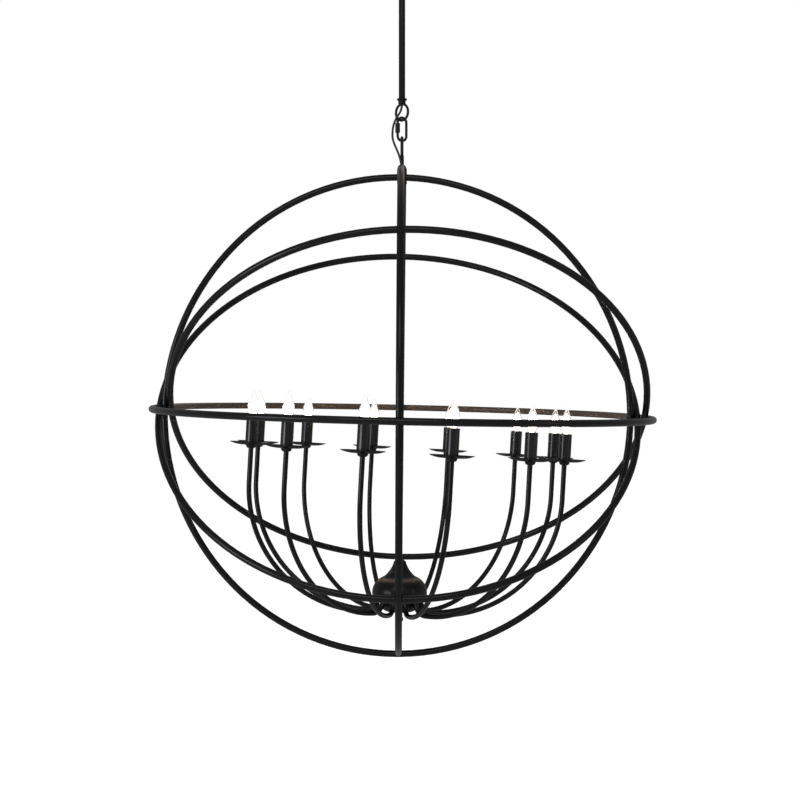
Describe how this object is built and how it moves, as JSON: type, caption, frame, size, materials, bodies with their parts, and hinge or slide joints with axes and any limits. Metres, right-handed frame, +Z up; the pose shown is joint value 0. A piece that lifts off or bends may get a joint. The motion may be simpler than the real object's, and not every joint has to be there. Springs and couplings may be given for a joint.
{
  "type": "orb chandelier",
  "caption": "Ceiling light: an open globe of round-bar rings on a rod and chain link, with a bell-shaped hub, J-shaped arms, drip pans, candle sleeves and flame-shaped bulbs inside.",
  "frame": {"origin": "on the ceiling's surface, at the middle of the mounting bar and on the rod's axis", "axes": "+Z up, the object hangs below the origin; -Y is the pictured front, +X is to the right; the mounting bar lies along X"},
  "size_m": [1.0193, 1.0195, 1.4513],
  "materials": {
    "ring_steel": "satin black over round bar",
    "arm_tube": "satin black",
    "spun_sheet": "satin black with a faint brown sheen",
    "candle_tube": "satin black, glossier",
    "rod_tube": "satin black",
    "forged_fittings": "dark, worn bright on edges",
    "plated_steel": "zinc plated",
    "earth_brass": "green dyed brass",
    "socket_plastic": "matte",
    "bulb_glass": "clear flame-shaped glass, glowing",
    "cord_cover": "black plastic sheath"
  },
  "bodies": {
    "ceiling": {"mounting_bar": "plated_steel", "ground_screw": "earth_brass", "nipple": "plated_steel", "rod_coupling": "plated_steel", "down_rod": "rod_tube", "rod_end_collar": "rod_tube", "ring_loop": "forged_fittings", "rod_wire": "cord_cover", "feed_cord_upper": "cord_cover"},
    "canopy_cover": {"canopy": "spun_sheet", "canopy_collar": "spun_sheet", "canopy_set_screw": "forged_fittings"},
    "link": {"quick_link": "forged_fittings", "link_nut": "forged_fittings"},
    "orb": {"top_eye": "forged_fittings", "crown": "rod_tube", "stem": "rod_tube", "belt_welds": "ring_steel", "belt_ring": "ring_steel", "profile_ring": "ring_steel", "face_ring": "ring_steel", "front_high_ring": "ring_steel", "back_high_ring": "ring_steel", "hub_bell": "spun_sheet", "stem_coupling": "plated_steel", "hub_tube": "plated_steel", "hub_drum": "spun_sheet", "hub_nuts": "plated_steel", "hub_cap": "spun_sheet", "finial": "spun_sheet", "stem_wire": "cord_cover", "arm_ferrules": "arm_tube", "drip_pans": "spun_sheet", "lamp_sockets": "socket_plastic", "candle_sleeves": "candle_tube", "feed_cord_lower": "cord_cover", "arm_01": "arm_tube", "arm_02": "arm_tube", "arm_03": "arm_tube", "arm_04": "arm_tube", "arm_05": "arm_tube", "arm_06": "arm_tube", "arm_07": "arm_tube", "arm_08": "arm_tube", "arm_09": "arm_tube", "arm_10": "arm_tube", "arm_11": "arm_tube", "arm_12": "arm_tube"},
    "lamp_01": {"bulb_01": "bulb_glass"},
    "lamp_02": {"bulb_02": "bulb_glass"},
    "lamp_03": {"bulb_03": "bulb_glass"},
    "lamp_04": {"bulb_04": "bulb_glass"},
    "lamp_05": {"bulb_05": "bulb_glass"},
    "lamp_06": {"bulb_06": "bulb_glass"},
    "lamp_07": {"bulb_07": "bulb_glass"},
    "lamp_08": {"bulb_08": "bulb_glass"},
    "lamp_09": {"bulb_09": "bulb_glass"},
    "lamp_10": {"bulb_10": "bulb_glass"},
    "lamp_11": {"bulb_11": "bulb_glass"},
    "lamp_12": {"bulb_12": "bulb_glass"}
  },
  "joints": [
    {"name": "canopy_drop", "type": "slide", "parent": "ceiling", "child": "canopy_cover", "axis": [0, 0, -1], "range_m": [0, 0.12]},
    {"name": "link_swing", "type": "hinge", "parent": "ceiling", "child": "link", "pos_m": [0, 0, -0.3631], "axis": [0.7431, -0.6691, 0], "range_deg": [-10, 10], "deforming": ["feed_cord_upper"]},
    {"name": "orb_swing", "type": "hinge", "parent": "link", "child": "orb", "pos_m": [0, 0, -0.40415], "axis": [0.9063, 0.4226, 0], "range_deg": [-10, 10], "deforming": ["feed_cord_lower"]},
    {"name": "unscrew_01", "type": "slide", "parent": "orb", "child": "lamp_01", "axis": [0.0549, 0.034, 0.9979], "range_m": [0, 0.03]},
    {"name": "unscrew_02", "type": "slide", "parent": "orb", "child": "lamp_02", "axis": [0.0549, 0.034, 0.9979], "range_m": [0, 0.03]},
    {"name": "unscrew_03", "type": "slide", "parent": "orb", "child": "lamp_03", "axis": [0.0549, 0.034, 0.9979], "range_m": [0, 0.03]},
    {"name": "unscrew_04", "type": "slide", "parent": "orb", "child": "lamp_04", "axis": [0.0549, 0.034, 0.9979], "range_m": [0, 0.03]},
    {"name": "unscrew_05", "type": "slide", "parent": "orb", "child": "lamp_05", "axis": [0.0549, 0.034, 0.9979], "range_m": [0, 0.03]},
    {"name": "unscrew_06", "type": "slide", "parent": "orb", "child": "lamp_06", "axis": [0.0549, 0.034, 0.9979], "range_m": [0, 0.03]},
    {"name": "unscrew_07", "type": "slide", "parent": "orb", "child": "lamp_07", "axis": [0.0549, 0.034, 0.9979], "range_m": [0, 0.03]},
    {"name": "unscrew_08", "type": "slide", "parent": "orb", "child": "lamp_08", "axis": [0.0549, 0.034, 0.9979], "range_m": [0, 0.03]},
    {"name": "unscrew_09", "type": "slide", "parent": "orb", "child": "lamp_09", "axis": [0.0549, 0.034, 0.9979], "range_m": [0, 0.03]},
    {"name": "unscrew_10", "type": "slide", "parent": "orb", "child": "lamp_10", "axis": [0.0549, 0.034, 0.9979], "range_m": [0, 0.03]},
    {"name": "unscrew_11", "type": "slide", "parent": "orb", "child": "lamp_11", "axis": [0.0549, 0.034, 0.9979], "range_m": [0, 0.03]},
    {"name": "unscrew_12", "type": "slide", "parent": "orb", "child": "lamp_12", "axis": [0.0549, 0.034, 0.9979], "range_m": [0, 0.03]}
  ]
}
